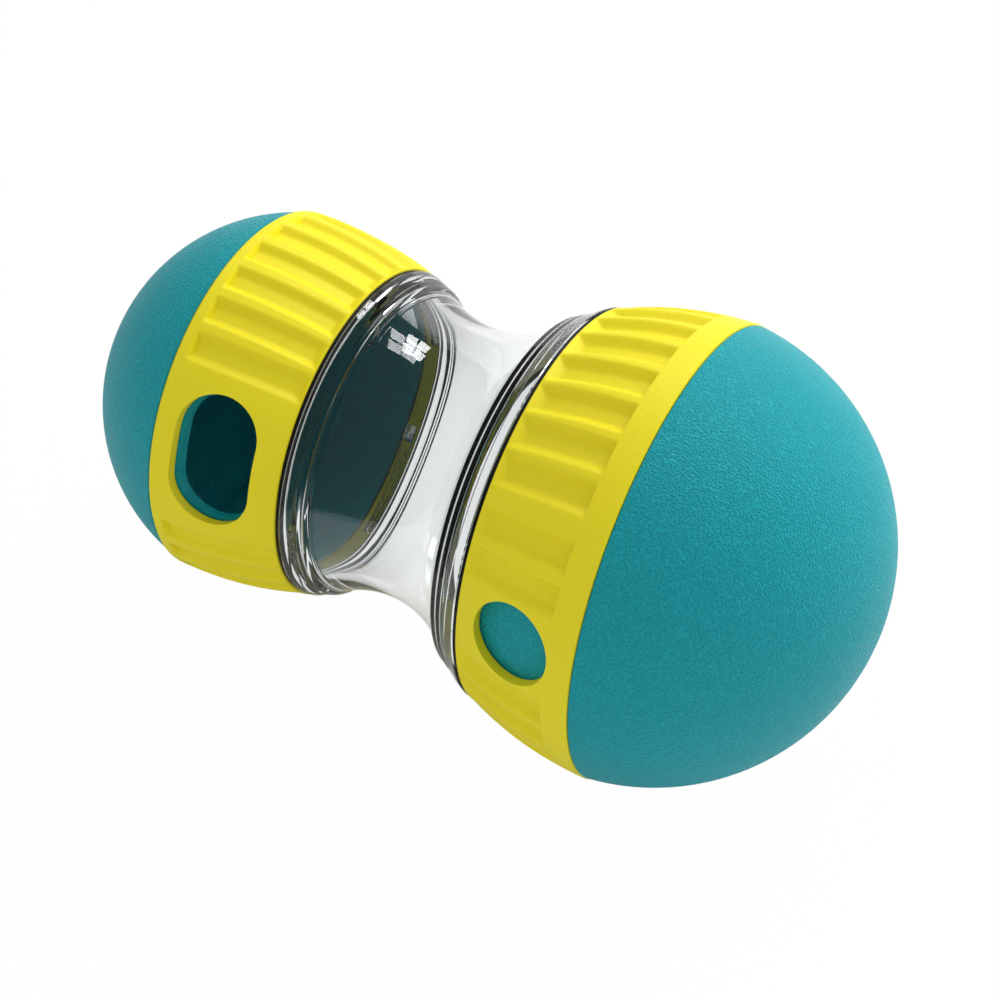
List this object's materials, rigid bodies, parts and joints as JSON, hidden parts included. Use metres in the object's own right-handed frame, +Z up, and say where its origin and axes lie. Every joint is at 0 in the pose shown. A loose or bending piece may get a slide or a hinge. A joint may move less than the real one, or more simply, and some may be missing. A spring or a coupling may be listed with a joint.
{
  "type": "treat dispensing toy",
  "caption": "Rolling hourglass treat dispenser with a hollow ball at each end, fluted grip rings and outlet windows that turn open or shut.",
  "frame": {"origin": "on the toy's long axis, in the middle of the clear body that the toy is picked up by", "axes": "+X along the toy's long axis towards the larger ball; +Z up, with both outlet windows on the -Y side; the long axis lies level"},
  "size_m": [0.1512, 0.0846, 0.0846],
  "materials": {
    "clear_plastic": "clear, polished",
    "yellow_ring": "fine sandy moulded texture",
    "teal_shell": "fine leathery moulded grain",
    "black_seal": "smooth"
  },
  "bodies": {
    "clear_body": {"hourglass_body": "clear_plastic"},
    "left_neck": {"left_neck_seal": "black_seal"},
    "left_ring": {"left_grip_ring": "yellow_ring"},
    "left_ball": {"left_outlet_sleeve": "teal_shell", "left_dome": "teal_shell"},
    "right_neck": {"right_neck_seal": "black_seal"},
    "right_ring": {"right_grip_ring": "yellow_ring"},
    "right_ball": {"right_outlet_sleeve": "teal_shell", "right_dome": "teal_shell"}
  },
  "joints": [
    {"name": "left_thread_travel", "type": "slide", "parent": "clear_body", "child": "left_neck", "axis": [-1, 0, 0], "range_m": [0, 0.00401]},
    {"name": "left_unscrew", "type": "hinge", "parent": "left_neck", "child": "left_ring", "pos_m": [-0.02005, 0, 0], "axis": [-1, 0, 0], "range_deg": [0, 120]},
    {"name": "left_shutter_turn", "type": "hinge", "parent": "left_ring", "child": "left_ball", "pos_m": [-0.04445, 0, 0], "axis": [1, 0, 0], "range_deg": [0, 48]},
    {"name": "right_thread_travel", "type": "slide", "parent": "clear_body", "child": "right_neck", "axis": [1, 0, 0], "range_m": [0, 0.00401]},
    {"name": "right_unscrew", "type": "hinge", "parent": "right_neck", "child": "right_ring", "pos_m": [0.0194, 0, 0], "axis": [1, 0, 0], "range_deg": [0, 120]},
    {"name": "right_shutter_turn", "type": "hinge", "parent": "right_ring", "child": "right_ball", "pos_m": [0.0432, 0, 0], "axis": [1, 0, 0], "range_deg": [0, 30]}
  ],
  "couplings": [
    {"joint": "left_thread_travel", "follows": "left_unscrew", "m_per_rad": 0.0019099},
    {"joint": "right_thread_travel", "follows": "right_unscrew", "m_per_rad": 0.0019099}
  ]
}
